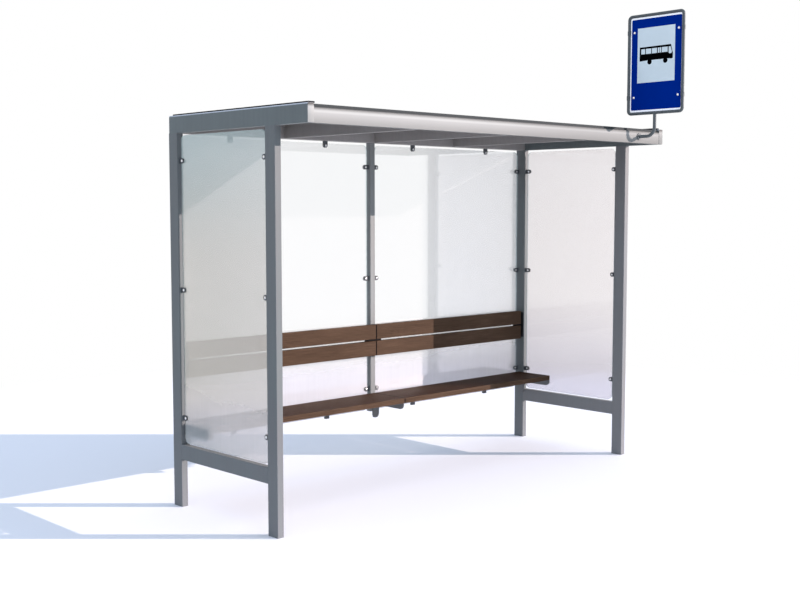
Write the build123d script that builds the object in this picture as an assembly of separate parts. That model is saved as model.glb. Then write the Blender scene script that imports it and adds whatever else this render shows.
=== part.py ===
"""A bus shelter: a steel frame glazed on three sides, with a flat roof, a bench and a stop sign."""
import os

from build123d import *

# Directions: X runs along the shelter, -Y is the open front and Z is up. Everything is in millimetres.
# Depths are measured forward from the back face of the rear posts, heights from the ground.

# Frame
frame_width = 3343
frame_depth = 1075
roof_depth = 1367
roof_bottom = 2349
post_width = 45
post_depth = 90
tube_corner = 3
side_rail_bottom = 304
side_rail_height = 96
middle_post_size = 45
middle_post_bottom = 405

# Roof
arm_height = 108
arm_edge_radius = 9
beam_height = 86
fascia_thickness = 45
fascia_edge_radius = 8
rafter_width = 40
rafter_count = 3
roof_panel_thickness = 14
front_trim_height = 17
front_trim_depth = 18
front_trim_setback = 4
side_cover_inset = 21
side_cover_overlap = 20
side_cover_height = 9
side_cover_end_gap = 18

# Glass and its clamps
glass_thickness = 8
glass_gap = 16
side_glass_foot_gap = 11
glass_corner_radius = 40
clamp_width = 32
clamp_cheek = 4
clamp_reach = 30
clamp_heights = (570, 1377, 2177)
clamp_web_clearance = 1
seat_clearance = 0.3
bolt_radius = 4
bolt_hole_radius = 4.5
glass_hole_radius = 7
bolt_head_radius = 8.5
bolt_head_height = 3.5
bolt_head_edge = 1.5
beam_clamp_count = 2
stay_thickness = 4
stay_drop = 40

# Bench
bay_gap = 4
bench_end_gap = 17
seat_top = 541
seat_thickness = 36
seat_back_gap = 57
seat_depth = 327
board_edge = 2.5
backrest_bottom = 817
backrest_board_height = 106
backrest_board_gap = 14
backrest_thickness = 36
backrest_end_gap = 23
backrest_plate_thickness = 3
backrest_plate_reach = 80
backrest_plate_margin = 12
bracket_width = 8
bracket_reach = 372
bracket_arm_height = 43
bracket_leg_depth = 107
bracket_leg_bottom = 362
bracket_nose_radius = 38
bracket_arch_radius = 34
bracket_plate_thickness = 5
bracket_plate_width = 90
bracket_plate_setback = 25

# Stop sign
sign_x = 1379
sign_offset = 130
sign_width = 472
sign_height = 709
sign_bottom = 2547
sign_tube_radius = 11
sign_corner_radius = 24
sign_plate_thickness = 3
sign_plate_setback = 5
stem_radius = 12
stem_bend_radius = 65
stem_height = 2395
flange_radius = 25
flange_thickness = 6
sign_clamp_wall = 2
sign_clamp_length = 30
sign_clamp_tab = 40
sign_clamp_inset = 125

# Worked out from the sizes above
half_width = frame_width / 2
inner_x = half_width - post_width
post_x = half_width - post_width / 2
sign_depth = roof_depth + sign_offset
sign_sleeve_radius = sign_tube_radius + seat_clearance
overall_depth = sign_depth + sign_width / 2 + seat_clearance + sign_clamp_wall
back_y = overall_depth / 2
side_rail_top = side_rail_bottom + side_rail_height
glass_bottom = side_rail_top + glass_gap
side_glass_bottom = side_rail_top + side_glass_foot_gap
glass_top = roof_bottom - glass_gap
glass_depth = middle_post_size / 2
front_post_back = frame_depth - post_depth
roof_panel_bottom = roof_bottom + beam_height
roof_panel_top = roof_panel_bottom + roof_panel_thickness
trim_front = roof_depth - fascia_edge_radius - front_trim_setback
panel_front = trim_front - front_trim_depth
arm_top = roof_bottom + arm_height
seat_bottom = seat_top - seat_thickness
clamp_thickness = glass_thickness + 2 * seat_clearance + 2 * clamp_cheek


def at(x, depth, height):
    """The point at an X, a depth forward from the back face and a height."""
    return Vector(x, back_y - depth, height)


def block(x0, x1, depth0, depth1, z0, z1):
    """A box between two X values, two depths and two heights."""
    centre = at((x0 + x1) / 2, (depth0 + depth1) / 2, (z0 + z1) / 2)
    return Pos(centre) * Box(abs(x1 - x0), abs(depth1 - depth0), abs(z1 - z0))


def tube(x0, x1, depth0, depth1, z0, z1, along):
    """A rectangular tube, with its long edges rounded as rolled sections are."""
    solid = block(x0, x1, depth0, depth1, z0, z1)
    return fillet(solid.edges().filter_by(along), tube_corner)


def save(name, solids):
    """Writes one node as a STEP file from a solid or a list of separate solids."""
    if isinstance(solids, list):
        solids = Compound(children=solids) if len(solids) > 1 else solids[0]
    export_step(solids, os.path.join("parts", name + ".step"))


# Frame ------------------------------------------------------------------------------------------

def side_post(side, depth0):
    """One of the four corner posts, from the ground to the underside of the roof arm."""
    return tube(side * inner_x, side * half_width, depth0, depth0 + post_depth, 0, roof_bottom, Axis.Z)


def side_rail(side):
    """The rail between the two posts of one side, under the side glass."""
    x0, x1 = side * inner_x, side * half_width
    return tube(x0, x1, post_depth, front_post_back, side_rail_bottom, side_rail_top, Axis.Y)


def roof_arm(side):
    """The arm that runs over both posts of one side and carries the roof past the front post."""
    arm = block(side * inner_x, side * half_width, 0, roof_depth, roof_bottom, arm_top)
    lengthwise = arm.edges().filter_by(Axis.Y).sort_by(Axis.Z)
    arm = fillet(lengthwise[2:], arm_edge_radius)
    back_top = arm.edges().filter_by(Axis.X).sort_by(Axis.Y)[-2:].sort_by(Axis.Z)[-1]
    return fillet(back_top, arm_edge_radius)


def middle_post():
    """The slim post between the two rear panes, which hangs from the beam and stops below the bench."""
    half = middle_post_size / 2
    return tube(-half, half, 0, middle_post_size, middle_post_bottom, roof_bottom, Axis.Z)


def rear_beam():
    """The beam across the back between the two arms."""
    return block(-inner_x, inner_x, 0, post_depth, roof_bottom, roof_panel_bottom)


def front_fascia():
    """The beam across the front between the ends of the arms, with its top front edge rounded."""
    back = roof_depth - fascia_thickness
    beam = block(-inner_x, inner_x, back, roof_depth, roof_bottom, roof_panel_bottom)
    front_top = beam.edges().filter_by(Axis.X).sort_by(Axis.Y)[:2].sort_by(Axis.Z)[-1]
    return fillet(front_top, fascia_edge_radius)


def rafter(index):
    """One of the evenly spaced rafters between the rear beam and the fascia."""
    x = -inner_x + 2 * inner_x * (index + 1) / (rafter_count + 1)
    half = rafter_width / 2
    front = roof_depth - fascia_thickness
    return block(x - half, x + half, post_depth, front, roof_bottom, roof_panel_bottom)


# Roof covering ----------------------------------------------------------------------------------

def roof_panel():
    """The flat panel that lies on the beams and rafters between the arms."""
    return block(-inner_x, inner_x, 0, panel_front, roof_panel_bottom, roof_panel_top)


def roof_front_trim():
    """The dark profile on top of the fascia that closes the front edge of the panel."""
    top = roof_panel_bottom + front_trim_height
    return block(-inner_x, inner_x, panel_front, trim_front, roof_panel_bottom, top)


def roof_side_cover(side):
    """The strip on top of an arm, with a foot that holds down the edge of the panel."""
    back, front = side_cover_end_gap, roof_depth - side_cover_end_gap
    outer_x = half_width - side_cover_inset
    foot_x = inner_x - side_cover_overlap
    top_plate = block(side * foot_x, side * outer_x, back, front, arm_top, arm_top + side_cover_height)
    foot = block(side * foot_x, side * inner_x, back, panel_front, roof_panel_top, arm_top)
    return top_plate + foot


# Glass ------------------------------------------------------------------------------------------

def clamp_frame(carrier_point, into_glass, across_glass):
    """A local frame on a post's or beam's face, with X into the pane and Z across its thickness."""
    return Plane(origin=carrier_point, x_dir=into_glass, z_dir=across_glass).location


def side_clamp_frames(side):
    """The clamps of a side pane: three on the rear post and three on the front post."""
    frames = []
    for height in clamp_heights:
        rear = at(side * post_x, post_depth, height)
        front = at(side * post_x, front_post_back, height)
        frames.append(clamp_frame(rear, (0, -1, 0), (1, 0, 0)))
        frames.append(clamp_frame(front, (0, 1, 0), (1, 0, 0)))
    return frames


def beam_clamp_positions(side):
    """The X positions of the clamps above and below a rear pane, spread evenly along its bay."""
    start, end = middle_post_size / 2, inner_x
    steps = [(2 * i + 1) / (2 * beam_clamp_count) for i in range(beam_clamp_count)]
    return [side * (start + (end - start) * step) for step in steps]


def back_clamp_frames(side):
    """The clamps of a rear pane: three on each post and two under the beam."""
    frames = []
    for height in clamp_heights:
        middle = at(side * middle_post_size / 2, glass_depth, height)
        corner = at(side * inner_x, glass_depth, height)
        frames.append(clamp_frame(middle, (side, 0, 0), (0, 1, 0)))
        frames.append(clamp_frame(corner, (-side, 0, 0), (0, 1, 0)))
    for x in beam_clamp_positions(side):
        frames.append(clamp_frame(at(x, glass_depth, roof_bottom), (0, 0, -1), (0, 1, 0)))
    return frames


def stay_frames(side):
    """The clamps on the lower edge of a rear pane."""
    lower = glass_bottom - glass_gap
    points = [at(x, glass_depth, lower) for x in beam_clamp_positions(side)]
    return [clamp_frame(point, (0, 0, 1), (0, 1, 0)) for point in points]


def clamp_body():
    """A clamp in its local frame: a round-nosed tab with a slot for the edge of the glass."""
    half = clamp_width / 2
    outline = Pos(clamp_reach / 2, 0) * Rectangle(clamp_reach, clamp_width)
    outline += Pos(clamp_reach, 0) * Circle(half)
    body = Pos(0, 0, -clamp_thickness / 2) * extrude(outline, clamp_thickness)
    slot_start = glass_gap - clamp_web_clearance
    slot_length = clamp_reach + clamp_width - slot_start
    slot = Box(slot_length, 2 * clamp_width, glass_thickness + 2 * seat_clearance)
    body -= Pos(slot_start + slot_length / 2, 0, 0) * slot
    return body - Pos(clamp_reach, 0, 0) * Cylinder(bolt_hole_radius, 2 * clamp_thickness)


def clamp_bolt():
    """A clamp's bolt in the same local frame: a shank through the glass with a round head at each end."""
    bolt = Cylinder(bolt_radius, clamp_thickness)
    for end in (-1, 1):
        head = Cylinder(bolt_head_radius, bolt_head_height)
        face = head.faces().sort_by(Axis.Z)[-1 if end > 0 else 0]
        head = fillet(face.edges(), bolt_head_edge)
        bolt += Pos(0, 0, end * (clamp_thickness + bolt_head_height) / 2) * head
    return Pos(clamp_reach, 0, 0) * bolt


def pane_with_holes(pane, frames):
    """A pane drilled where its clamp bolts pass through."""
    for frame in frames:
        pane -= frame * Pos(clamp_reach, 0, 0) * Cylinder(glass_hole_radius, 4 * glass_thickness)
    return pane


def side_glass(side):
    """The pane between the posts of one side."""
    half = glass_thickness / 2
    back, front = post_depth + glass_gap, front_post_back - glass_gap
    pane = block(side * post_x - half, side * post_x + half, back, front, side_glass_bottom, glass_top)
    pane = fillet(pane.edges().filter_by(Axis.X), glass_corner_radius)
    return pane_with_holes(pane, side_clamp_frames(side))


def back_glass(side):
    """One of the two rear panes, between the middle post and a rear post."""
    half = glass_thickness / 2
    near, far = middle_post_size / 2 + glass_gap, inner_x - glass_gap
    pane = block(side * near, side * far, glass_depth - half, glass_depth + half, glass_bottom, glass_top)
    pane = fillet(pane.edges().filter_by(Axis.Y), glass_corner_radius)
    return pane_with_holes(pane, back_clamp_frames(side) + stay_frames(side))


def glass_stay(frame, x):
    """A lower clamp with the strap that joins it to the underside of the seat."""
    clamp = frame * clamp_body()
    half = clamp_width / 2
    front = glass_depth + clamp_thickness / 2
    seat_front = seat_back_gap + stay_drop
    strap_top = seat_bottom
    lower = glass_bottom - glass_gap
    upright = block(x - half, x + half, front, front + stay_thickness, lower, strap_top)
    foot = block(x - half, x + half, front, seat_front, strap_top - stay_thickness, strap_top)
    head = frame * Pos(clamp_reach, 0, 0) * Cylinder(bolt_head_radius + 1, 6 * clamp_thickness)
    return clamp + (upright - head) + foot


# Bench ------------------------------------------------------------------------------------------

def seat_board(side):
    """The seat of one bay."""
    end = inner_x - bench_end_gap
    front = seat_back_gap + seat_depth
    board = block(side * bay_gap / 2, side * end, seat_back_gap, front, seat_bottom, seat_top)
    return fillet(board.edges().filter_by(Axis.X), board_edge)


def backrest_board(side, row):
    """One of the two boards that make the backrest of one bay, counted from the lower one."""
    bottom = backrest_bottom + row * (backrest_board_height + backrest_board_gap)
    back = middle_post_size + backrest_plate_thickness
    end = inner_x - backrest_end_gap
    top = bottom + backrest_board_height
    board = block(side * bay_gap / 2, side * end, back, back + backrest_thickness, bottom, top)
    return fillet(board.edges().filter_by(Axis.X), board_edge)


def backrest_heights():
    """The bottom and top of the plates behind the backrest boards."""
    top = backrest_bottom + 2 * backrest_board_height + backrest_board_gap
    return backrest_bottom + backrest_plate_margin, top - backrest_plate_margin


def backrest_plate_middle():
    """The plate on the middle post that joins the boards of both bays."""
    bottom, top = backrest_heights()
    back = middle_post_size
    reach = backrest_plate_reach
    return block(-reach, reach, back, back + backrest_plate_thickness, bottom, top)


def backrest_plate_end(side):
    """The angle on the inner face of a rear post that carries the ends of the boards."""
    bottom, top = backrest_heights()
    back = middle_post_size
    thickness = backrest_plate_thickness
    reach = inner_x - backrest_plate_reach
    plate = block(side * reach, side * inner_x, back, back + thickness, bottom, top)
    leg = block(side * (inner_x - thickness), side * inner_x, back, post_depth, bottom, top)
    return plate + leg


def bracket_web(x0, x1):
    """The cantilever bracket seen from the side: a leg on the post, an arched arm and a rounded nose."""
    top = seat_bottom - bracket_plate_thickness
    arm_bottom = top - bracket_arm_height
    corners = [
        (middle_post_size, top),
        (bracket_reach, top),
        (bracket_reach, arm_bottom),
        (bracket_leg_depth, arm_bottom),
        (bracket_leg_depth, bracket_leg_bottom),
        (middle_post_size, bracket_leg_bottom),
    ]
    outline = Polyline(*[at(x0, depth, height) for depth, height in corners], close=True)
    web = extrude(make_face(outline), amount=x1 - x0, dir=(1, 0, 0))
    across = web.edges().filter_by(Axis.X)
    nose = across.filter_by_position(Axis.Z, arm_bottom - 1, arm_bottom + 1).sort_by(Axis.Y)
    foot = across.filter_by_position(Axis.Z, bracket_leg_bottom - 1, bracket_leg_bottom + 1).sort_by(Axis.Y)
    web = fillet([nose[0], foot[0]], bracket_nose_radius)
    arch = web.edges().filter_by(Axis.X).filter_by_position(Axis.Z, arm_bottom - 1, arm_bottom + 1)
    return fillet(arch.sort_by(Axis.Y)[-1], bracket_arch_radius)


def bench_bracket(x0, x1, plate_x0, plate_x1):
    """A bracket and the plate on its top that the seat boards are screwed to."""
    plate_front = bracket_reach - bracket_plate_setback
    plate_back = seat_back_gap
    thickness = bracket_plate_thickness
    plate = block(plate_x0, plate_x1, plate_back, plate_front, seat_bottom - thickness, seat_bottom)
    return bracket_web(x0, x1) + plate


def bench_bracket_middle():
    """The bracket on the front of the middle post, under the ends of both seats."""
    half, plate_half = bracket_width / 2, bracket_plate_width / 2
    return bench_bracket(-half, half, -plate_half, plate_half)


def bench_bracket_end(side):
    """The bracket on the inner face of a rear post."""
    near, plate_near = inner_x - bracket_width, inner_x - bracket_plate_width / 2 - bracket_width / 2
    xs = sorted((side * near, side * inner_x))
    plate_xs = sorted((side * plate_near, side * inner_x))
    return bench_bracket(*xs, *plate_xs)


# Stop sign --------------------------------------------------------------------------------------

def sign_centre():
    """The middle of the sign."""
    return at(sign_x, sign_depth, sign_bottom + sign_height / 2)


def sign_plane():
    """The plane of the sign, which faces along the road, seen from its front."""
    return Plane(origin=sign_centre(), x_dir=(0, -1, 0), z_dir=(-1, 0, 0))


def sign_frame():
    """The round tube bent into a rounded rectangle about the plate."""
    width = sign_width - 2 * sign_tube_radius
    height = sign_height - 2 * sign_tube_radius
    path = sign_plane() * RectangleRounded(width, height, sign_corner_radius).wire()
    start = path @ 0
    section = Plane(origin=start, z_dir=path % 0) * Circle(sign_tube_radius)
    return sweep(section, path=path, transition=Transition.ROUND)


def sign_plate():
    """The flat plate inside the tube, set a little behind its centre line."""
    inset = 2 * (2 * sign_tube_radius + seat_clearance)
    radius = sign_corner_radius - sign_tube_radius
    outline = RectangleRounded(sign_width - inset, sign_height - inset, radius)
    plate = extrude(outline, sign_plate_thickness / 2, both=True)
    return sign_plane().location * Pos(0, 0, -sign_plate_setback) * plate


def sign_clamp(side, level):
    """A sleeve round one upright of the tube, with a tab behind the plate."""
    inner = sign_sleeve_radius
    outer = inner + sign_clamp_wall
    tab_back = -sign_plate_setback - sign_plate_thickness / 2 - seat_clearance
    tab_length = inner + sign_clamp_tab
    tab = Pos(tab_length / 2, 0, tab_back - sign_clamp_wall / 2)
    tab = tab * Box(tab_length, sign_clamp_length, sign_clamp_wall)
    slot_width = sign_plate_thickness + 2 * seat_clearance
    slot = Box(2 * sign_clamp_wall + 2, 2 * sign_clamp_length, slot_width)
    slot = Pos(outer, 0, -sign_plate_setback) * slot
    upright = Rot(90, 0, 0)
    clamp = upright * Cylinder(outer, sign_clamp_length) + tab
    clamp = clamp - upright * Cylinder(inner, 2 * sign_clamp_length) - slot
    across = sign_width / 2 - sign_tube_radius
    up = sign_height / 2 - sign_clamp_inset
    if side > 0:
        clamp = mirror(clamp, Plane.YZ)
    return sign_plane().location * Pos(side * across, level * up, 0) * clamp


def sign_stem():
    """The tube that leaves the fascia forward and bends up to the sign."""
    start = at(sign_x, roof_depth + flange_thickness, stem_height)
    bend_start = at(sign_x, sign_depth - stem_bend_radius, stem_height)
    bend_end = at(sign_x, sign_depth, stem_height + stem_bend_radius)
    bend_centre = at(sign_x, sign_depth - stem_bend_radius, stem_height + stem_bend_radius)
    lean = stem_bend_radius * 2 ** -0.5
    bend_middle = bend_centre + Vector(0, -lean, -lean)
    top = at(sign_x, sign_depth, sign_bottom + sign_tube_radius)
    path = Line(start, bend_start) + ThreePointArc(bend_start, bend_middle, bend_end) + Line(bend_end, top)
    stem = sweep(Plane(origin=start, z_dir=(0, -1, 0)) * Circle(stem_radius), path=path)
    tube_centre = at(sign_x, sign_depth, sign_bottom + sign_tube_radius)
    return stem - Pos(tube_centre) * Rot(90, 0, 0) * Cylinder(sign_tube_radius, 4 * stem_radius)


def sign_flange():
    """The round flange that fixes the stem to the fascia."""
    centre = at(sign_x, roof_depth + flange_thickness / 2, stem_height)
    return Pos(centre) * Rot(90, 0, 0) * Cylinder(flange_radius, flange_thickness)


# Nodes ------------------------------------------------------------------------------------------

def nodes():
    """Every node's name and its solids."""
    parts = {}
    for label, side in (("left", -1), ("right", 1)):
        parts["rear_post_" + label] = side_post(side, 0)
        parts["front_post_" + label] = side_post(side, front_post_back)
        parts["lower_rail_" + label] = side_rail(side)
        parts["roof_arm_" + label] = roof_arm(side)
        parts["roof_side_cover_" + label] = roof_side_cover(side)
        parts["side_glass_" + label] = side_glass(side)
        parts["back_glass_" + label] = back_glass(side)
        frames = side_clamp_frames(side) + back_clamp_frames(side)
        parts["glass_clamps_" + label] = [frame * clamp_body() for frame in frames]
        stays = zip(stay_frames(side), beam_clamp_positions(side))
        parts["glass_stays_" + label] = [glass_stay(frame, x) for frame, x in stays]
        parts["glass_bolts_" + label] = [frame * clamp_bolt() for frame in frames + stay_frames(side)]
        parts["seat_" + label] = seat_board(side)
        parts["backrest_lower_" + label] = backrest_board(side, 0)
        parts["backrest_upper_" + label] = backrest_board(side, 1)
        parts["backrest_plate_" + label] = backrest_plate_end(side)
        parts["bench_bracket_" + label] = bench_bracket_end(side)
    parts["middle_post"] = middle_post()
    parts["rear_beam"] = rear_beam()
    parts["front_fascia"] = front_fascia()
    for index, label in enumerate(("left", "middle", "right")):
        parts["rafter_" + label] = rafter(index)
    parts["roof_panel"] = roof_panel()
    parts["roof_front_trim"] = roof_front_trim()
    parts["backrest_plate_middle"] = backrest_plate_middle()
    parts["bench_bracket_middle"] = bench_bracket_middle()
    parts["sign_plate"] = sign_plate()
    parts["sign_frame"] = sign_frame()
    parts["sign_stem"] = sign_stem()
    parts["sign_flange"] = sign_flange()
    parts["sign_clamps"] = [sign_clamp(side, level) for side in (-1, 1) for level in (-1, 1)]
    return parts


os.makedirs("parts", exist_ok=True)
for node, solids in nodes().items():
    save(node, solids)
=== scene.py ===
"""The looks of a bus shelter: paint, glass, timber, fixings and sign face around its CAD frame."""
import math

import bmesh
import bpy
from mathutils import Matrix, Vector


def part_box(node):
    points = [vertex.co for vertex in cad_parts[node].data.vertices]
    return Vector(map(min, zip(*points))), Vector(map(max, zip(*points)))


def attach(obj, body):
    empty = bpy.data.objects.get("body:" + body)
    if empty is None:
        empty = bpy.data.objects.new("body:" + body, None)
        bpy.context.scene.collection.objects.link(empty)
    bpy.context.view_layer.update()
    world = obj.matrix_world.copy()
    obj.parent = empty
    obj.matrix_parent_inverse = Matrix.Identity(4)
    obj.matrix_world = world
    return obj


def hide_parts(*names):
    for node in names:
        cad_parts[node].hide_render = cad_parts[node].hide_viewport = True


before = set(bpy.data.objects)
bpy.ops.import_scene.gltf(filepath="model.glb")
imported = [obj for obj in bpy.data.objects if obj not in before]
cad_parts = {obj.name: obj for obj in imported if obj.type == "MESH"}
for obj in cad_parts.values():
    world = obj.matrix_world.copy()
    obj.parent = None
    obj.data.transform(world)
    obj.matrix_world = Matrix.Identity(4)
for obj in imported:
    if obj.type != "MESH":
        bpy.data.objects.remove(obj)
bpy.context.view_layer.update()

MM = 0.001
SIDES = ("left", "right")


# Shader maths -------------------------------------------------------------------------------

def is_socket(value):
    """Tells a socket to link from a plain value."""
    return isinstance(value, bpy.types.NodeSocket)


class Number:
    """A number that varies over a surface. The usual operators add Math nodes to its tree."""

    def __init__(self, nodes, socket):
        self.nodes = nodes
        self.socket = socket

    def __add__(self, other):
        return self.nodes.maths("ADD", self, other)

    def __sub__(self, other):
        return self.nodes.maths("SUBTRACT", self, other)

    def __rsub__(self, other):
        return self.nodes.maths("SUBTRACT", other, self)

    def __mul__(self, other):
        return self.nodes.maths("MULTIPLY", self, other)

    def __truediv__(self, other):
        return self.nodes.maths("DIVIDE", self, other)

    def __pow__(self, other):
        return self.nodes.maths("POWER", self, other)

    def __abs__(self):
        return self.nodes.maths("ABSOLUTE", self)

    __radd__ = __add__
    __rmul__ = __mul__


class Nodes:
    """The nodes of a material or of the sky."""

    def __init__(self, owner):
        owner.use_nodes = True
        self.tree = owner.node_tree
        self.tree.nodes.clear()

    def node(self, kind, inputs=None, **settings):
        """A node of a kind. Its settings are made first, then its sockets' values or links."""
        made = self.tree.nodes.new(kind)
        for name, value in settings.items():
            if name == "stops":
                self.set_stops(made.color_ramp, value)
            else:
                setattr(made, name, value)
        for name, value in (inputs or {}).items():
            socket = made.inputs[name]
            value = value.socket if isinstance(value, Number) else value
            if is_socket(value):
                self.tree.links.new(value, socket)
            else:
                socket.default_value = (*value, 1) if socket.type == "RGBA" else value
        return made

    def out(self, kind, inputs=None, **settings):
        """The first output of a new node."""
        return self.node(kind, inputs, **settings).outputs[0]

    def set_stops(self, ramp, stops):
        """Gives a colour ramp its stops, each a position and a colour."""
        while len(ramp.elements) < len(stops):
            ramp.elements.new(1.0)
        for element, (position, colour) in zip(ramp.elements, stops):
            element.position = position
            element.color = (*colour, 1)

    def maths(self, operation, *values):
        """The result of one Math node."""
        inputs = dict(enumerate(values))
        return Number(self, self.out("ShaderNodeMath", inputs, operation=operation))

    def clamp(self, value, low=0.0, high=1.0):
        """A number held between low and high."""
        return Number(self, self.out("ShaderNodeClamp", {"Value": value, "Min": low, "Max": high}))

    def step(self, value, low, high):
        """Rises smoothly from 0 at low to 1 at high, or falls where low is the larger."""
        inputs = {"Value": value, "From Min": low, "From Max": high}
        return Number(self, self.out("ShaderNodeMapRange", inputs, interpolation_type="SMOOTHSTEP"))

    def parts(self, vector):
        """The X, Y and Z of a vector."""
        split = self.node("ShaderNodeSeparateXYZ", {0: vector})
        return [Number(self, socket) for socket in split.outputs]

    def seen(self):
        """1 where the camera, metal or glass looks, and 0 for the rays that light the object."""
        path = self.node("ShaderNodeLightPath").outputs
        camera_ray = Number(self, path["Is Camera Ray"])
        return self.clamp(camera_ray + path["Is Glossy Ray"] + path["Is Transmission Ray"])

    def blend(self, share, first, second):
        """A colour between two colours."""
        mixed = self.node("ShaderNodeMix", {0: share, 6: first, 7: second}, data_type="RGBA")
        return mixed.outputs[2]

    def ramp(self, value, stops):
        """A colour that follows a number through stops."""
        return self.out("ShaderNodeValToRGB", {0: value}, stops=stops)

    def mix(self, share, first, second):
        """Two shaders mixed, with share of the second."""
        return self.out("ShaderNodeMixShader", {0: share, 1: first, 2: second})


class Finish(Nodes):
    """A material, which reads the piece's own Object coordinates."""

    def __init__(self, name):
        self.material = bpy.data.materials.new(name)
        super().__init__(self.material)
        self.place = self.node("ShaderNodeTexCoord").outputs["Object"]

    def axes(self):
        """The X, Y and Z of a point on the piece, in metres."""
        return self.parts(self.place)

    def facing(self):
        """How far the surface faces along X, Y and Z."""
        return self.parts(self.node("ShaderNodeNewGeometry").outputs["Normal"])

    def noise(self, scale, stretch=(1, 1, 1), shift=(0, 0, 0), detail=3.0, roughness=0.5):
        """Noise from 0 to 1, with about scale times stretch features a metre along each axis."""
        placed = {"Vector": self.place, "Location": shift, "Scale": stretch}
        vector = self.out("ShaderNodeMapping", placed)
        inputs = {"Vector": vector, "Scale": scale, "Detail": detail, "Roughness": roughness}
        return Number(self, self.out("ShaderNodeTexNoise", inputs))

    def relief(self, height, depth):
        """The normal of a surface with bumps of that depth in metres."""
        return self.out("ShaderNodeBump", {"Height": height, "Distance": depth, "Strength": 1.0})

    def shader(self, colour, roughness, **more):
        """A Principled shader with a colour, a roughness and any other sockets."""
        inputs = {"Base Color": colour, "Roughness": roughness}
        inputs |= {name.replace("_", " "): value for name, value in more.items()}
        return self.out("ShaderNodeBsdfPrincipled", inputs)

    def done(self, shader):
        """The material, ended with its shader."""
        self.node("ShaderNodeOutputMaterial", {"Surface": shader})
        return self.material


# Finishes -----------------------------------------------------------------------------------

def scaled(colour, factor):
    """A colour made darker or lighter."""
    return tuple(channel * factor for channel in colour)


def powder_coat(name, colour, cool=None, roughness=0.5, gloss=0.25, dusty=1.0, streaky=0.8,
                painted_light_bands=None, highlight_edge=None):
    """Powder coat on steel: fine orange peel, rain streaks, dust, scuffs and splash.

    cool is the coat's second, colder shade, and gloss its specular level. painted_light_bands holds
    the height of a dark line of painted shade along the top, the height below it where a painted
    highlight makes the coat palest and the height of the foot, down to which painted shade darkens
    it again; such a coat also darkens towards +X in painted shade. highlight_edge is the height
    above which a painted highlight runs along the top edge, broken up by the scuff noise.
    """
    finish = Finish(name)
    x, _, z = finish.axes()
    up = finish.facing()[2]
    patches = finish.noise(2.2, detail=5.0)
    streaks = finish.noise(5.0, stretch=(9, 9, 0.35), detail=4.0)
    specks = finish.noise(340.0, detail=2.0)
    scuffs = finish.noise(22.0, stretch=(1, 1, 7), shift=(3, 1, 5), detail=6.0, roughness=0.7)
    peel = finish.noise(420.0, detail=2.0)

    tone = finish.clamp(0.5 + (patches - 0.5) * 1.3 + (streaks - 0.5) * streaky)
    coat = finish.blend(tone, scaled(colour, 0.9), scaled(cool or colour, 1.1))
    # Painted light: a painted highlight just under the top, painted shade down to the foot, a dark
    # line of painted shade along the top and painted shade towards +X.
    if painted_light_bands:
        line, palest, foot = painted_light_bands
        painted_shading = ((0.0, 0.45), (0.3, 0.54), (0.85, 0.78), (1.0, 1.0))
        painted_shading = [(position, scaled(colour, factor)) for position, factor in painted_shading]
        coat = finish.blend(0.85, coat, finish.ramp((z - foot) / (palest - foot), painted_shading))
        coat = finish.blend(finish.step(z, palest, line), coat, scaled(colour, 0.19))
        coat = finish.blend(finish.step(x, -0.7, 1.0) * 0.3, coat, scaled(colour, 0.2))

    dust = finish.step(up, 0.5, 0.95) * finish.step(patches + specks * 0.25, 0.45, 0.75)
    dust = dust * (0.3 * dusty)
    coat = finish.blend(dust, coat, (0.36, 0.35, 0.33))

    drops = finish.step(z + (streaks - 0.5) * 0.25, 0.22, 0.0) * finish.step(specks, 0.35, 0.62)
    splash = drops * 0.15 + finish.step(z + (patches - 0.5) * 0.4, 1.0, 0.1) * 0.14
    coat = finish.blend(splash, coat, (0.30, 0.29, 0.31))

    worn = finish.step(scuffs, 0.70, 0.76) * finish.step(z, 1.3, 0.9) * 0.5
    # Painted highlight: above that height a bright band is painted along the top edge and joins the
    # scuff wear.
    if highlight_edge:
        painted_highlight = finish.step(z, highlight_edge, highlight_edge + 3 * MM)
        worn = worn + painted_highlight * finish.step(scuffs, 0.25, 0.4)
    coat = finish.blend(worn, coat, (0.46, 0.50, 0.53))

    rough = roughness + (patches - 0.5) * 0.12 + dust * 0.5 + splash * 0.5 - worn * 0.15
    normal = finish.relief(peel + worn * -0.6, 0.08 * MM)
    sheen = finish.step(up, 0.6, 0.95) * (1.4 * gloss)
    return finish.done(finish.shader(coat, rough, Specular_IOR_Level=gloss, Coat_Weight=sheen,
                                     Coat_Roughness=0.3, Normal=normal))


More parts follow.
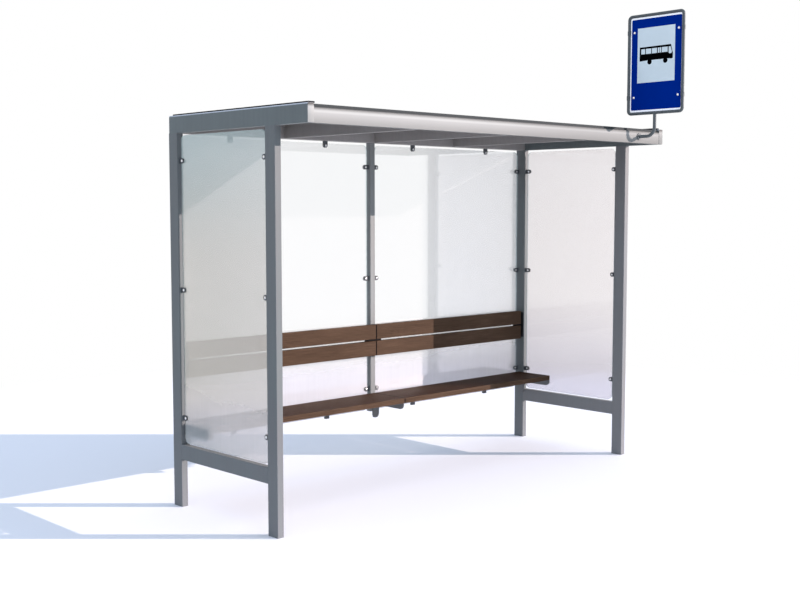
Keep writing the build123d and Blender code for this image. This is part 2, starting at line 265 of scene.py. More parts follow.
def timber(name, board, shift):
    """Brown stained board: rings round a heart behind it, fibres along it, and worn arrises."""
    finish = Finish(name)
    x, y, z = finish.axes()
    low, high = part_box(board)
    centre, half = (low + high) / 2, (high - low) / 2

    bend = finish.noise(1.0, stretch=(1.1, 3, 3), shift=shift, detail=2.0)
    heart_y = y - (centre.y + 0.05) + (bend - 0.5) * 0.06
    heart_z = z - (centre.z - 0.16) + (bend - 0.5) * 0.10
    ring_width = 7.5 * MM
    ring = finish.maths("FRACT", (heart_y * heart_y + heart_z * heart_z) ** 0.5 / ring_width)
    late = finish.step(ring, 0.45, 0.93) * finish.step(ring, 1.0, 0.95)
    fibres = finish.noise(1.0, stretch=(5, 420, 420), shift=shift, detail=4.0, roughness=0.6)
    threads = finish.noise(1.0, stretch=(14, 1500, 1500), shift=shift, detail=2.0)
    patches = finish.noise(1.6, stretch=(1, 4, 4), shift=shift, detail=3.0)
    grain = finish.clamp(0.52 + (fibres - 0.5) * 1.5 - late * 0.26 + (patches - 0.5) * 0.7)
    stain = finish.ramp(grain, [
        (0.0, (0.026, 0.0138, 0.0079)),
        (0.42, (0.060, 0.0352, 0.0204)),
        (0.72, (0.091, 0.0539, 0.0328)),
        (1.0, (0.134, 0.0836, 0.0520)),
    ])
    pores = finish.step(threads, 0.60, 0.70)
    stain = finish.blend(pores * 0.5, stain, (0.022, 0.012, 0.009))

    towards = finish.facing()
    ends = finish.step(abs(towards[0]), 0.6, 0.9)
    # Painted shade: the up-facing tops of the boards are darkened.
    stain = finish.blend(finish.step(towards[2], 0.6, 0.9) * 0.6, stain, (0.039, 0.012, 0.003))
    # Painted shade: end faces and a band beside them are darkened almost black, for the shade in
    # the gaps between boards, over darker end grain.
    painted_gap_shade = ends + finish.step(abs(x - centre.x), half.x - 4.2 * MM, half.x - 3.2 * MM)
    stain = finish.blend(finish.clamp(painted_gap_shade) * 0.9, stain, (0.005, 0.003, 0.0025))
    near_y = finish.step(abs(y - centre.y), half.y - 4.5 * MM, half.y - 1 * MM)
    near_z = finish.step(abs(z - centre.z), half.z - 4.5 * MM, half.z - 1 * MM)
    arris = near_y * near_z * finish.step(finish.noise(7.0, shift=shift), 0.35, 0.6)
    stain = finish.blend(arris * 0.35, stain, (0.20, 0.13, 0.09))

    rough = 0.58 + (fibres - 0.5) * 0.25 + pores * 0.15 + ends * 0.15
    normal = finish.relief(fibres * 0.7 - late * 0.3 - pores * 0.6, 0.35 * MM)
    return finish.done(finish.shader(stain, rough, Specular_IOR_Level=0.05, Normal=normal))


def safety_glass(name, across, tint, foot_tint, foot, low_mirror, top_mirror, share, foot_share,
                 milky, washed=None):
    """Toughened glass with a faint milky film.

    It mirrors more at a slant, it holds back the direct sun, and its ground rim is pale green.
    across is the axis through the pane. tint is the glass's own, and foot_tint its tint below the
    heights in foot, painted darker on the right and back panes as the shade of the ground seen
    through and in them, and lighter on the left pane. low_mirror and top_mirror are the colour and
    brightness of its mirror low down and near its top, which paint in the reflection of the
    surroundings, bluer near the top like sky. share and foot_share are the film's, and milky is how
    much of the film is lit from its own side. washed holds the share of the
    film kept towards -X, where it is thinned so that the pane looks as bright as a painted
    reflection of bright sky, and the X between which it thickens again.
    """
    finish = Finish(name)
    x, _, z = finish.axes()
    low_down = finish.step(z, *foot)

    clean = finish.out("ShaderNodeBsdfTransparent", {"Color": tint})
    # Painted light and shade: below the foot heights the clear glass takes foot_tint, standing for
    # the ground seen through it.
    low_tinted = finish.out("ShaderNodeBsdfTransparent", {"Color": foot_tint})
    low = finish.out("ShaderNodeBsdfGlossy", {"Color": low_mirror, "Roughness": 0.03})
    top = finish.out("ShaderNodeBsdfGlossy", {"Color": top_mirror, "Roughness": 0.03})
    slant = Number(finish, finish.node("ShaderNodeLayerWeight", {"Blend": 0.5}).outputs["Facing"])
    shadow_ray = finish.node("ShaderNodeLightPath").outputs["Is Shadow Ray"]
    mirror_share = finish.clamp(4.5 * slant ** 2.6 + shadow_ray, 0.03, 0.985)
    # Painted reflection: the mirror's colour changes with height, bluer near the top like sky.
    mirror = finish.mix(finish.step(z, 1.5, 2.5), low, top)
    pane = finish.mix(mirror_share, finish.mix(low_down, clean, low_tinted), mirror)

    # Painted reflection: the film is thinned towards -X so that the pane there looks as bright as a
    # mirrored bright sky.
    if washed:
        left, thin, thick = washed
        share = share * (left + (1 - left) * finish.step(x, thin, thick))
    smears = finish.noise(1.8, stretch=(1, 1, 0.5), detail=5.0, roughness=0.55)
    drips = finish.noise(9.0, stretch=(6, 6, 0.25), detail=3.0)
    film = share + low_down * (foot_share - share)
    film = film * (1 + (smears - 0.5) * 0.5 + (drips - 0.5) * 0.12)
    milk = finish.out("ShaderNodeBsdfDiffuse", {"Color": (0.96, 0.95, 0.94)})
    glow = finish.out("ShaderNodeBsdfTranslucent", {"Color": (0.83, 0.83, 0.83)})
    pane = finish.mix(film, pane, finish.mix(milky, glow, milk))

    rim_stops = [(0.3, (0.36, 0.47, 0.45)), (0.7, (0.62, 0.72, 0.70))]
    rim = finish.shader(finish.ramp(finish.noise(60.0), rim_stops), 0.35)
    through = abs(finish.facing()[across])
    return finish.done(finish.mix(finish.step(through, 0.8, 0.4), pane, rim))


def bright_steel(name):
    """Turned stainless steel with fine tool marks and a little tarnish."""
    finish = Finish(name)
    tarnish = finish.noise(120.0, detail=3.0)
    marks = finish.noise(2600.0, detail=1.0)
    colour = finish.ramp(tarnish, [(0.3, (0.78, 0.79, 0.80)), (0.7, (0.93, 0.93, 0.94))])
    rough = 0.3 + (tarnish - 0.5) * 0.2
    normal = finish.relief(marks, 0.02 * MM)
    return finish.done(finish.shader(colour, rough, Metallic=1.0, Normal=normal))


def pale_rivet(name):
    """A polished aluminium rivet head."""
    finish = Finish(name)
    marks = finish.noise(900.0, detail=2.0)
    colour = finish.blend(marks, (0.90, 0.91, 0.93), (0.97, 0.97, 0.98))
    rough = 0.25 + (marks - 0.5) * 0.2
    normal = finish.relief(marks, 0.02 * MM)
    return finish.done(finish.shader(colour, rough, Metallic=1.0, Normal=normal))


def roof_sheet(name):
    """Dark coated roof sheet: dusty above, with the rims of dried puddles, and plain below."""
    finish = Finish(name)
    up = finish.facing()[2]
    patches = finish.noise(1.7, detail=6.0, roughness=0.6)
    puddles = finish.noise(2.6, shift=(7, 2, 0), detail=2.0)
    rims = finish.step(abs(puddles - 0.55), 0.05, 0.0)
    grit = finish.noise(260.0, detail=3.0)
    coat = finish.blend(patches, (0.100, 0.094, 0.100), (0.140, 0.132, 0.140))
    settled = finish.clamp(patches * 0.6 + rims * 0.12 + (grit - 0.5) * 0.5)
    dust = finish.step(up, 0.5, 0.9) * settled
    coat = finish.blend(dust * 0.45, coat, (0.24, 0.23, 0.21))
    rough = 0.7 + dust * 0.2
    normal = finish.relief(grit, 0.1 * MM)
    return finish.done(finish.shader(coat, rough, Specular_IOR_Level=0.03, Normal=normal))


def sign_film(name, colour):
    """Glass-bead sign film: a fine even grain, and slightly faded in patches."""
    finish = Finish(name)
    beads = finish.noise(1400.0, detail=1.0)
    fade = finish.noise(5.0, detail=4.0)
    tone = finish.clamp(0.5 + (fade - 0.5) * 1.2 + (beads - 0.5) * 0.5)
    film = finish.blend(tone, scaled(colour, 0.93), scaled(colour, 1.06))
    rough = 0.5 + (fade - 0.5) * 0.1
    normal = finish.relief(beads, 0.03 * MM)
    return finish.done(finish.shader(film, rough, Specular_IOR_Level=0.0, Normal=normal))


def sign_sheet(name):
    """Aluminium sheet: on its front a white film with a painted glow that lifts it above its light,
    on its back bare metal.
    """
    finish = Finish(name)
    front = finish.step(finish.facing()[0], -0.2, -0.6)
    brushed = finish.noise(1.0, stretch=(30, 30, 900), detail=3.0)
    fade = finish.noise(5.0, detail=4.0)
    bare = finish.ramp(brushed, [(0.3, (0.40, 0.41, 0.42)), (0.7, (0.55, 0.56, 0.57))])
    white = finish.blend(fade, (0.80, 0.82, 0.86), (0.90, 0.91, 0.93))
    colour = finish.blend(front, bare, white)
    # Painted light: the white front glows a little, though the sheet is no lamp.
    glow = finish.blend(front, (0, 0, 0), (0.95, 0.97, 1.0))
    rough = 0.4 + (brushed - 0.5) * 0.2
    normal = finish.relief(brushed, 0.04 * MM)
    return finish.done(finish.shader(colour, rough, Metallic=(1 - front) * 0.85, Normal=normal,
                                     Emission_Color=glow, Emission_Strength=0.3))


def weld_steel(name, colour):
    """A painted weld bead with a few darker heat spots."""
    finish = Finish(name)
    spots = finish.noise(160.0, detail=3.0)
    coat = finish.blend(spots, scaled(colour, 0.75), scaled(colour, 1.05))
    rough = 0.5 + (spots - 0.5) * 0.2
    return finish.done(finish.shader(coat, rough, Normal=finish.relief(spots, 0.3 * MM)))


FRAME_GREY = (0.130, 0.136, 0.135)
FRAME_BLUE = (0.117, 0.137, 0.134)
FASCIA_GREY = (0.340, 0.347, 0.322)

fascia_low, fascia_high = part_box("front_fascia")
arm_low, arm_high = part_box("roof_arm_left")
# Heights of the painted highlight and painted shade bands on the fascia and the arm end caps.
fascia_painted_light_bands = (fascia_high.z + 2 * MM, fascia_high.z - 24 * MM, fascia_low.z)
cap_painted_light_bands = (arm_high.z - 6 * MM, arm_high.z - 26 * MM, arm_low.z - 200 * MM)
# The painted highlight along the arms' rounded top edge starts 9 mm below their top.
arm_highlight_edge = arm_high.z - 9 * MM

frame_paint = powder_coat("frame powder coat", FRAME_GREY, FRAME_BLUE)
# Painted light: the right front post and rail take a lighter copy of the frame coat, standing for
# the light their inner faces catch.
right_paint_lightened = powder_coat("right frame coat painted lighter", (0.173, 0.171, 0.166), (0.158, 0.171, 0.171))
# Painted light: the middle post takes a lighter copy of the frame coat, standing for the light from
# the open front.
middle_post_paint_lightened = powder_coat("middle post coat painted lighter", (0.204, 0.204, 0.192), (0.188, 0.204, 0.198))
# Painted shade: the backrest plates are near black, standing for the shade seen in the gaps between
# the boards.
plate_paint_shaded = powder_coat("backrest plate coat painted dark", (0.020, 0.020, 0.021), dusty=0.3)
# Painted light: rafters and rear beam take a lighter copy of the frame coat, standing for the light
# thrown up from the floor.
roof_frame_paint_lightened = powder_coat("roof frame coat painted lighter", (0.275, 0.262, 0.245), dusty=0.3)
arm_paint = powder_coat("arm powder coat", FRAME_BLUE, scaled(FRAME_BLUE, 1.05),
                        highlight_edge=arm_highlight_edge)
fascia_paint = powder_coat("fascia powder coat", FASCIA_GREY, roughness=0.6, dusty=0.3,
                           streaky=0.2, painted_light_bands=fascia_painted_light_bands)
cap_paint = powder_coat("cap powder coat", scaled(FASCIA_GREY, 0.92), roughness=0.6, dusty=0.3,
                        streaky=0.2, painted_light_bands=cap_painted_light_bands)
trim_paint = powder_coat("roof trim coat", (0.030, 0.036, 0.037), roughness=0.6, gloss=0.1,
                         dusty=0.2)
cover_paint = powder_coat("side cover coat", (0.010, 0.011, 0.013), roughness=0.75, gloss=0.03,
                          dusty=0.15)
clamp_paint = powder_coat("clamp coat", (0.060, 0.066, 0.070), roughness=0.4, dusty=0.3)
bracket_paint = powder_coat("bracket coat", scaled(FRAME_GREY, 0.95), dusty=0.6)
sign_paint = powder_coat("sign tube coat", (0.090, 0.102, 0.102), roughness=0.4, dusty=0.5)
weld_paint = weld_steel("painted weld", FRAME_GREY)
bolt_steel = bright_steel("stainless bolt")
rivet_steel = pale_rivet("polished rivet")
sheet_paint = roof_sheet("roof sheet coat")
sign_blue = sign_film("blue sign film", (0.0, 0.0215, 0.235))
sign_pale = sign_film("pale sign film", (0.71, 0.80, 0.79))
sign_black = sign_film("black sign film", (0.0015, 0.0015, 0.002))
sign_back = sign_sheet("sign sheet")

left_glass = safety_glass(
    "left glass", across=0, tint=(0.965, 0.96, 0.965), foot_tint=(1.0, 0.98, 0.99), foot=(0.9, 0.6),
    low_mirror=(0.46, 0.48, 0.44), top_mirror=(0.41, 0.54, 0.57), share=0.17, foot_share=0.24,
    milky=0.25)
right_glass = safety_glass(
    "right glass", across=0, tint=(0.945, 0.93, 0.935), foot_tint=(0.80, 0.79, 0.83),
    foot=(1.25, 0.55), low_mirror=(0.46, 0.47, 0.43), top_mirror=(0.37, 0.46, 0.48), share=0.17,
    foot_share=0.19, milky=0.25)
back_glass = safety_glass(
    "back glass", across=1, tint=(0.985, 0.988, 0.99), foot_tint=(0.78, 0.76, 0.77),
    foot=(0.95, 0.62), low_mirror=(0.97, 0.97, 0.97), top_mirror=(0.97, 0.985, 0.99), share=0.19,
    foot_share=0.31, milky=0.8, washed=(0.24, 0.45, 0.85))


def give(material, *nodes):
    """Puts one material on CAD nodes."""
    for node in nodes:
        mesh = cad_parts[node].data
        mesh.materials.clear()
        mesh.materials.append(material)


for number, side in enumerate(SIDES):
    give((frame_paint, right_paint_lightened)[number], "front_post_" + side, "lower_rail_" + side)
    give((left_glass, right_glass)[number], "side_glass_" + side)
    give(back_glass, "back_glass_" + side)
    give(frame_paint, "rear_post_" + side)
    give(arm_paint, "roof_arm_" + side)
    give(cover_paint, "roof_side_cover_" + side)
    give(clamp_paint, "glass_clamps_" + side, "glass_stays_" + side)
    for row, board in enumerate(("seat_", "backrest_lower_", "backrest_upper_")):
        shift = (3.7 * row + 11 * number, 1.9 * row + 5 * number, 2.3 * row)
        give(timber(f"stained timber {board}{side}", board + side, shift), board + side)
for place in ("left", "middle", "right"):
    give(plate_paint_shaded, "backrest_plate_" + place)
    give(bracket_paint, "bench_bracket_" + place)
    give(roof_frame_paint_lightened, "rafter_" + place)
give(roof_frame_paint_lightened, "rear_beam")
give(middle_post_paint_lightened, "middle_post")
give(fascia_paint, "front_fascia")
give(sheet_paint, "roof_panel")
give(trim_paint, "roof_front_trim")
give(sign_back, "sign_plate")
give(sign_paint, "sign_frame", "sign_stem", "sign_flange", "sign_clamps")


# Shapes -------------------------------------------------------------------------------------

def as_mesh(shape, name):
    """Turns a shape into a mesh."""
    mesh = bpy.data.meshes.new(name)
    shape.to_mesh(mesh)
    shape.free()
    return mesh


def as_object(shape, name, material):
    """Turns a shape into an object of one material."""
    mesh = as_mesh(shape, name)
    mesh.materials.append(material)
    made = bpy.data.objects.new(name, mesh)
    bpy.context.scene.collection.objects.link(made)
    return made


def piece(shape, name, material, smooth_below=35):
    """Makes a shape a piece of the shelter, smooth across edges below that many degrees."""
    bmesh.ops.remove_doubles(shape, verts=shape.verts, dist=1e-6)
    bmesh.ops.recalc_face_normals(shape, faces=shape.faces)
    made = as_object(shape, name, material)
    made.data.shade_smooth()
    made.data.set_sharp_from_angle(angle=math.radians(smooth_below))
    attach(made, "root")
    return made


def pointing(origin, direction):
    """The place of a shape whose own +Z points along direction."""
    turn = Vector(direction).to_track_quat("Z", "Y").to_matrix().to_4x4()
    return Matrix.Translation(origin) @ turn


def copies(shape, places):
    """A copy of a shape at each place, as one shape."""
    pattern = as_mesh(shape, "pattern")
    whole = bmesh.new()
    for place in places:
        moved = pattern.copy()
        moved.transform(place)
        whole.from_mesh(moved)
        bpy.data.meshes.remove(moved)
    bpy.data.meshes.remove(pattern)
    return whole


def joined(*shapes):
    """Several shapes as one."""
    whole = bmesh.new()
    for shape in shapes:
        mesh = as_mesh(shape, "part")
        whole.from_mesh(mesh)
        bpy.data.meshes.remove(mesh)
    return whole


def turned(profile, steps):
    """A closed shape turned round Z from (radius, height) points that start and end on the axis."""
    shape = bmesh.new()
    points = [shape.verts.new((radius, 0, height)) for radius, height in profile]
    edges = [shape.edges.new(pair) for pair in zip(points, points[1:])]
    bmesh.ops.spin(shape, geom=points + edges, cent=(0, 0, 0), axis=(0, 0, 1),
                   angle=2 * math.pi, steps=steps, use_merge=True)
    bmesh.ops.remove_doubles(shape, verts=shape.verts, dist=1e-6)
    return shape


def bevelled(shape, edges, width, segments):
    """Rounds some edges of a shape."""
    bmesh.ops.bevel(shape, geom=edges, offset=width, segments=segments, profile=0.5,
                    affect="EDGES", material=-1)


def spread(start, end, count):
    """Evenly spaced positions from start to end."""
    return [start + index * (end - start) / (count - 1) for index in range(count)]


def separate_solids(node):
    """The lowest and highest corners of each solid in a CAD node."""
    shape = bmesh.new()
    shape.from_mesh(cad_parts[node].data)
    bmesh.ops.remove_doubles(shape, verts=shape.verts, dist=1e-5)
    left, boxes = set(shape.verts), []
    while left:
        group, todo = [], [left.pop()]
        while todo:
            vertex = todo.pop()
            group.append(vertex.co.copy())
            near = {edge.other_vert(vertex) for edge in vertex.link_edges} & left
            left -= near
            todo += near
        low = Vector([min(point[axis] for point in group) for axis in range(3)])
        high = Vector([max(point[axis] for point in group) for axis in range(3)])
        boxes.append((low, high))
    shape.free()
    return sorted(boxes, key=lambda box: tuple(round(value, 4) for value in box[0]))


# Fixings ------------------------------------------------------------------------------------

UP, DOWN, FORWARD, BACK, LEFT = (0, 0, 1), (0, 0, -1), (0, -1, 0), (0, 1, 0), (-1, 0, 0)

BOLT_RADIUS = 4 * MM
BOLT_HEAD_RADIUS = 8.5 * MM
BOLT_HEAD_HEIGHT = 3.5 * MM
BOLT_SOCKET_RADIUS = 2.8 * MM


def socket_head():
    """A round button head with a hexagonal socket."""
    r, h, s = BOLT_HEAD_RADIUS, BOLT_HEAD_HEIGHT, BOLT_SOCKET_RADIUS
    profile = [(0, 0), (r, 0), (r, 0.22 * h), (0.95 * r, 0.5 * h), (0.82 * r, 0.74 * h),
               (0.64 * r, 0.92 * h), (0.5 * r, h), (s, h), (s, 0.45 * h), (0, 0.35 * h)]
    shape = turned(profile, 24)
    for vertex in shape.verts:
        if abs(math.hypot(vertex.co.x, vertex.co.y) - s) < 0.01 * MM:
            angle = math.atan2(vertex.co.y, vertex.co.x) % (math.pi / 3) - math.pi / 6
            pull = math.cos(math.pi / 6) / math.cos(angle)
            vertex.co.x *= pull
            vertex.co.y *= pull
    return shape


def shank(radius, length):
    """A plain round shank, centred."""
    shape = bmesh.new()
    bmesh.ops.create_cone(shape, cap_ends=True, segments=16, radius1=radius, radius2=radius,
                          depth=length)
    return shape


def dome_head(radius, height):
    """A plain domed head."""
    profile = [(0, 0), (radius, 0), (radius, 0.25 * height), (0.88 * radius, 0.62 * height),
               (0.62 * radius, 0.88 * height), (0.3 * radius, 0.98 * height), (0, height)]
    return turned(profile, 16)


def hexagon_head(radius, height, washer_radius):
    """A hexagon head with rounded corners above, on a round washer."""
    shape = bmesh.new()
    bmesh.ops.create_cone(shape, cap_ends=True, segments=6, radius1=radius, radius2=radius,
                          depth=height, matrix=Matrix.Translation((0, 0, height / 2)))
    rim = [edge for edge in shape.edges if min(v.co.z for v in edge.verts) > 0.9 * height]
    bevelled(shape, rim, 0.18 * radius, 2)
    thickness = 0.3 * height
    washer = turned([(0, 0), (washer_radius, 0), (washer_radius, 0.2 * height),
                     (0.9 * washer_radius, thickness), (0, thickness)], 20)
    return joined(shape, washer)


def glass_bolts(side):
    """The bolts of one side's clamps, each with a socket head on both faces."""
    heads, shanks = [], []
    node = "glass_bolts_" + side
    for low, high in separate_solids(node):
        size, centre = high - low, (low + high) / 2
        axis = max(range(3), key=lambda index: size[index])
        along = Vector([1.0 if index == axis else 0.0 for index in range(3)])
        reach = size[axis] / 2 - BOLT_HEAD_HEIGHT
        heads.append(pointing(centre + along * reach, along))
        heads.append(pointing(centre - along * reach, -along))
        shanks.append(pointing(centre, along))
    bolts = joined(copies(socket_head(), heads), copies(shank(BOLT_RADIUS, 2 * reach), shanks))
    made = piece(bolts, "socket_bolts_" + side, bolt_steel)
    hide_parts(node)


def backrest_screws():
    """The screws that come through the backrest plates from behind into the boards."""
    edge_gap = 18 * MM
    places = []
    for board in ("backrest_lower_left", "backrest_upper_left"):
        low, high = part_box(board)
        for share in (0.3, 0.7):
            z = low.z + share * (high.z - low.z)
            for place in ("left", "middle", "right"):
                near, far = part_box("backrest_plate_" + place)
                xs = [(near.x + far.x) / 2]
                if place == "middle":
                    xs = [near.x + edge_gap, far.x - edge_gap]
                places += [pointing((x, far.y, z), BACK) for x in xs]
    piece(copies(dome_head(5 * MM, 2.6 * MM), places), "backrest_screws", bolt_steel)


def bracket_screws():
    """The hexagon screws that hold the seats, seen under the plates of the brackets."""
    plate_thickness, plate_setback, aside = 5 * MM, 25 * MM, 30 * MM
    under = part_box("seat_left")[0].z - plate_thickness
    places = []
    for place, outwards in (("left", (1,)), ("middle", (-1, 1)), ("right", (-1,))):
        near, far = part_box("bench_bracket_" + place)
        web = {"left": near.x, "right": far.x}.get(place, (near.x + far.x) / 2)
        for out in outwards:
            for share in (0.25, 0.85):
                y = near.y + plate_setback + share * (far.y - near.y - 60 * MM)
                places.append(pointing((web + out * aside, y, under), DOWN))
    head = hexagon_head(6 * MM, 4.5 * MM, 8.5 * MM)
    piece(copies(head, places), "seat_screws", bolt_steel)


def cover_screws():
    """The screws along the two side covers on top of the roof."""
    end_gap = 60 * MM
    places = []
    for side in SIDES:
        low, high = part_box("roof_side_cover_" + side)
        for y in spread(low.y + end_gap, high.y - end_gap, 6):
            places.append(pointing(((low.x + high.x) / 2, y, high.z), UP))
    piece(copies(dome_head(5.5 * MM, 2.4 * MM), places), "cover_screws", bolt_steel)


def roof_screws():
    """The washered screws that fix the roof sheet along its rafters and its rear beam."""
    edge_gap, end_gap, clearance = 45 * MM, 200 * MM, 50 * MM
    low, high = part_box("roof_panel")
    rafters = [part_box("rafter_" + place) for place in ("left", "middle", "right")]
    rows = [(near.x + far.x) / 2 for near, far in rafters]
    spots = [(x, y) for x in rows for y in spread(low.y + edge_gap, high.y - edge_gap, 6)]
    for x in spread(low.x + end_gap, high.x - end_gap, 11):
        if all(abs(x - row) > clearance for row in rows):
            spots.append((x, high.y - edge_gap))
    places = [pointing((x, y, high.z), UP) for x, y in spots]
    head = hexagon_head(4.5 * MM, 4 * MM, 8 * MM)
    piece(copies(head, places), "roof_screws", bolt_steel)


def flange_screws():
    """Three screws in the flange of the sign's stem."""
    circle_radius = 19 * MM
    low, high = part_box("sign_flange")
    places = []
    for degrees in (90, 210, 330):
        angle = math.radians(degrees)
        x = (low.x + high.x) / 2 + circle_radius * math.cos(angle)
        z = (low.z + high.z) / 2 + circle_radius * math.sin(angle)
        places.append(pointing((x, low.y, z), FORWARD))
    piece(copies(dome_head(3.4 * MM, 1.8 * MM), places), "flange_screws", bolt_steel)


# Welds and caps -----------------------------------------------------------------------------

WELD_LEG = 4.5 * MM
WELD_RIPPLE = 3 * MM
WELD_INSET = 4 * MM


def weld_bead(start, end, wall_a, wall_b, leg=WELD_LEG):
    """A small rippled fillet weld from start to end in the corner of two walls."""
    start, end, wall_a, wall_b = (Vector(value) for value in (start, end, wall_a, wall_b))
    section = [Vector(), wall_a * leg, (wall_a + wall_b) * 0.42 * leg, wall_b * leg]
    steps = max(2, round((end - start).length / WELD_RIPPLE))
    shape = bmesh.new()
    rings = []
    for index in range(steps + 1):
        swell = 1.16 if index % 2 and index < steps else 1.0
        centre = start.lerp(end, index / steps)
        rings.append([shape.verts.new(centre + point * swell) for point in section])
    for one, two in zip(rings, rings[1:]):
        for corners in zip(one, one[1:] + one[:1], two[1:] + two[:1], two):
            shape.faces.new(corners)
    shape.faces.new(rings[0])
    shape.faces.new(rings[-1])
    return shape


def corner_welds():
    """The welds where rails, arms, beam and middle bracket meet the posts."""
    beads = []
    for side in SIDES:
        rear_low, rear_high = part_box("rear_post_" + side)
        front_low, front_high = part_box("front_post_" + side)
        rail_low, rail_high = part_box("lower_rail_" + side)
        levels = ((rail_low.z, DOWN), (rail_high.z, UP), (rear_high.z, DOWN))
        inner = ((rear_low.y, FORWARD), (front_high.y, BACK))
        corners = [(y, out, z, along) for z, along in levels for y, out in inner]
        corners.append((front_low.y, FORWARD, rear_high.z, DOWN))
        x0, x1 = rear_low.x + WELD_INSET, rear_high.x - WELD_INSET
        beads += [weld_bead((x0, y, z), (x1, y, z), out, along) for y, out, z, along in corners]

    low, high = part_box("middle_post")
    z = high.z
    beads.append(weld_bead((low.x + WELD_INSET, low.y, z), (high.x - WELD_INSET, low.y, z),
                           FORWARD, DOWN))
    bracket_low, bracket_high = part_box("bench_bracket_middle")
    bottom, top = bracket_low.z + 13 * MM, bracket_high.z - 15 * MM
    for x, out in ((low.x, -1), (high.x, 1)):
        beads.append(weld_bead((x, low.y + WELD_INSET, z), (x, high.y - WELD_INSET, z),
                               (out, 0, 0), DOWN))
        web = out * 4 * MM
        beads.append(weld_bead((web, low.y, bottom), (web, low.y, top), FORWARD, (out, 0, 0),
                               leg=3.5 * MM))
    piece(joined(*beads), "weld_beads", weld_paint, smooth_below=60)


def arm_end_caps():
    """The pale plates that close the front ends of the roof arms."""
    inset, thickness = 1 * MM, 3 * MM
    shape = bmesh.new()
    for side in SIDES:
        low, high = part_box("roof_arm_" + side)
        size = (high.x - low.x - inset, thickness, high.z - low.z - inset, 1)
        centre = Vector(((low.x + high.x) / 2, low.y, (low.z + high.z) / 2))
        place = Matrix.Translation(centre) @ Matrix.Diagonal(size)
        made = bmesh.ops.create_cube(shape, size=1, matrix=place)["verts"]
        edges = {edge for vertex in made for edge in vertex.link_edges}
        above = [edge for edge in edges if min(v.co.z for v in edge.verts) > centre.z]
        top = [edge for edge in above if abs(edge.verts[0].co.y - edge.verts[1].co.y) > 1 * MM]
        bevelled(shape, top, 8.5 * MM, 6)
    front = [edge for edge in shape.edges if max(v.co.y for v in edge.verts) < low.y]
    bevelled(shape, front, 0.5 * MM, 2)
    piece(shape, "arm_end_caps", cap_paint, smooth_below=50)


# Sign face ----------------------------------------------------------------------------------

# In millimetres from the middle of the sign. Edges are left, bottom, right and top.
FIELD_EDGES = (-206, -320, 209, 321)
PANEL_EDGES = (-155.5, -128, 155.5, 257)
WINDOW_BOTTOM, WINDOW_TOP = 73, 109
WINDOW_SIDES = ((-124, -91), (-85, -40), (-34, 8), (15, 28), (31, 43), (48, 96))
WINDSCREEN = [(104, 66), (112, 60), (124, 61), (132, 69), (120, 109), (104, 109)]
BUS_TAIL = [(-136, 122), (-137, 24)]
BUS_NOSE = [(134, 24), (139, 29), (140, 60), (122, 124)]
WHEEL_RADIUS, WHEEL_HEIGHT, WHEEL_CENTRES = 18.5, 16, (-53, 78)

sign_low, sign_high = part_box("sign_plate")
sign_middle = (sign_low + sign_high) / 2
sign_face = Matrix((
    (0, 0, -1, sign_low.x),
    (-1, 0, 0, sign_middle.y),
    (0, 1, 0, sign_middle.z),
    (0, 0, 0, 1),
))


def film(outline, holes, thickness):
    """A sheet of film cut to an outline with holes, and laid on the face of the sign."""
    shape = bmesh.new()
    for loop in (outline, *holes):
        points = [shape.verts.new((across * MM, up * MM, 0)) for across, up in loop]
        for first, second in zip(points, points[1:] + points[:1]):
            shape.edges.new((first, second))
    bmesh.ops.triangle_fill(shape, use_beauty=True, use_dissolve=False, edges=shape.edges,
                            normal=(0, 0, 1))
    top = bmesh.ops.extrude_face_region(shape, geom=shape.faces[:])["geom"]
    lifted = [item for item in top if isinstance(item, bmesh.types.BMVert)]
    bmesh.ops.translate(shape, verts=lifted, vec=(0, 0, thickness * MM))
    bmesh.ops.transform(shape, matrix=sign_face, verts=shape.verts)
    return shape


def arc(centre, radius, start, turn, steps):
    """Points along an arc, with its start and its turn in degrees."""
    angles = [math.radians(start + turn * index / steps) for index in range(steps + 1)]
    return [(centre[0] + radius * math.cos(angle), centre[1] + radius * math.sin(angle))
            for angle in angles]


def rounded(left, bottom, right, top, radius, steps):
    """The outline of a rectangle with rounded corners."""
    x0, x1, y0, y1 = left + radius, right - radius, bottom + radius, top - radius
    points = []
    for quarter, centre in enumerate(((x1, y1), (x0, y1), (x0, y0), (x1, y0))):
        points += arc(centre, radius, 90 * quarter, 90, steps)
    return points


def bus_outline():
    """The plain side view of a bus, with its wheels standing out below."""
    wheels = []
    for centre in WHEEL_CENTRES:
        wheels += arc((centre, WHEEL_HEIGHT), WHEEL_RADIUS, 142, 256, 18)
    return BUS_TAIL + wheels + BUS_NOSE


def sign_films():
    """The blue field, the pale panel and the bus, each a film that lies over the one below."""
    field = film(rounded(*FIELD_EDGES, radius=10, steps=6), [], 0.3)
    piece(field, "sign_blue_field", sign_blue)
    panel = film(rounded(*PANEL_EDGES, radius=2, steps=3), [], 0.6)
    piece(panel, "sign_pale_panel", sign_pale)
    y0, y1 = WINDOW_BOTTOM, WINDOW_TOP
    windows = [[(x0, y0), (x1, y0), (x1, y1), (x0, y1)] for x0, x1 in WINDOW_SIDES]
    bus = film(bus_outline(), [*windows, WINDSCREEN], 0.9)
    piece(bus, "sign_bus", sign_black)


def sign_rivets():
    """The pale rivets that hold the plate to its four sleeves."""
    edge_gap, film_thickness = 10 * MM, 0.3 * MM
    places = []
    for low, high in separate_solids("sign_clamps"):
        near_side = (low.y + high.y) / 2 < sign_middle.y
        y = high.y - edge_gap if near_side else low.y + edge_gap
        places.append(pointing((sign_low.x - film_thickness, y, (low.z + high.z) / 2), LEFT))
    piece(copies(dome_head(8.5 * MM, 2.5 * MM), places), "sign_rivets", rivet_steel)


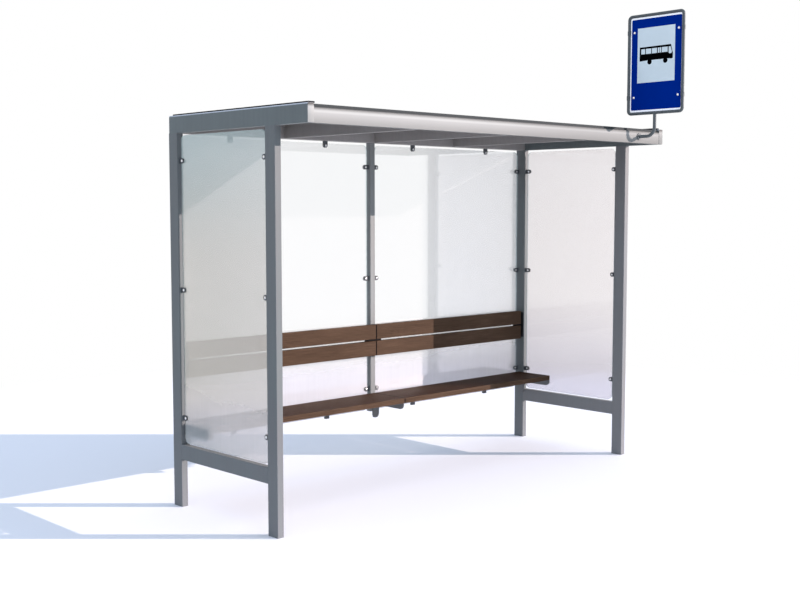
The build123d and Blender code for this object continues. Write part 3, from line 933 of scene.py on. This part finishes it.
for side in SIDES:
    glass_bolts(side)
backrest_screws()
bracket_screws()
cover_screws()
roof_screws()
flange_screws()
corner_welds()
arm_end_caps()
sign_films()
sign_rivets()


# Floor, light and camera --------------------------------------------------------------------

FLOOR_HALF = 150
FLOOR_FADE = (4.4, 6.4)
SKY_COLOUR = (0.73, 0.85, 1.08)
SUN_DIRECTION = (-0.6995, 0.6650, -0.2615)
CAMERA_PLACE = (-5.6939, -5.4509, 1.8993)
CAMERA_DIP = 4.5896
CAMERA_HEADING = -43.5626
WHITE = (1, 1, 1)


def pale_floor():
    """A wide plain floor under the feet, which turns as white as the sky far from them."""
    finish = Finish("pale floor")
    x, y, _ = finish.axes()
    mottle = finish.noise(0.8, detail=4.0)
    colour = finish.blend(mottle, (0.885, 0.885, 0.885), (0.905, 0.905, 0.905))
    near = finish.shader(colour, 0.9, Specular_IOR_Level=0.1)
    far = finish.out("ShaderNodeEmission", {"Color": WHITE, "Strength": 1.0})
    away = finish.step((x * x + y * y) ** 0.5, *FLOOR_FADE)
    material = finish.done(finish.mix(finish.seen() * away, near, far))
    shape = bmesh.new()
    bmesh.ops.create_grid(shape, x_segments=1, y_segments=1, size=FLOOR_HALF)
    as_object(shape, "floor", material)


def soft_sky():
    """Soft light from all round, strongest in front. Camera, metal and glass see plain white."""
    world = bpy.data.worlds.new("sky")
    sky = Nodes(world)
    right, back, _ = sky.parts(sky.node("ShaderNodeTexCoord").outputs["Generated"])
    level = back * -0.55 + right * 0.15 + 1.0
    light = sky.out("ShaderNodeBackground", {"Color": SKY_COLOUR, "Strength": level})
    white = sky.out("ShaderNodeBackground", {"Color": WHITE, "Strength": 1.0})
    sky.node("ShaderNodeOutputWorld", {"Surface": sky.mix(sky.seen(), light, white)})
    bpy.context.scene.world = world


def low_sun():
    """A low warm light from the right of the open front."""
    lamp = bpy.data.lights.new("low sun", "SUN")
    lamp.color = (1.0, 0.85, 0.82)
    lamp.energy = 6.0
    lamp.angle = math.radians(0.25)
    sun = bpy.data.objects.new("low sun", lamp)
    sun.rotation_euler = Vector(SUN_DIRECTION).to_track_quat("-Z", "Y").to_euler()
    bpy.context.scene.collection.objects.link(sun)


def camera():
    """The view from the front left, at about head height."""
    lens = bpy.data.cameras.new("camera")
    lens.sensor_width = 36
    lens.lens = 52.71
    made = bpy.data.objects.new("camera", lens)
    made.location = CAMERA_PLACE
    made.rotation_euler = (math.radians(90 - CAMERA_DIP), 0, math.radians(CAMERA_HEADING))
    bpy.context.scene.collection.objects.link(made)
    bpy.context.scene.camera = made


pale_floor()
soft_sky()
low_sun()
camera()
bpy.context.scene.view_settings.view_transform = "Standard"
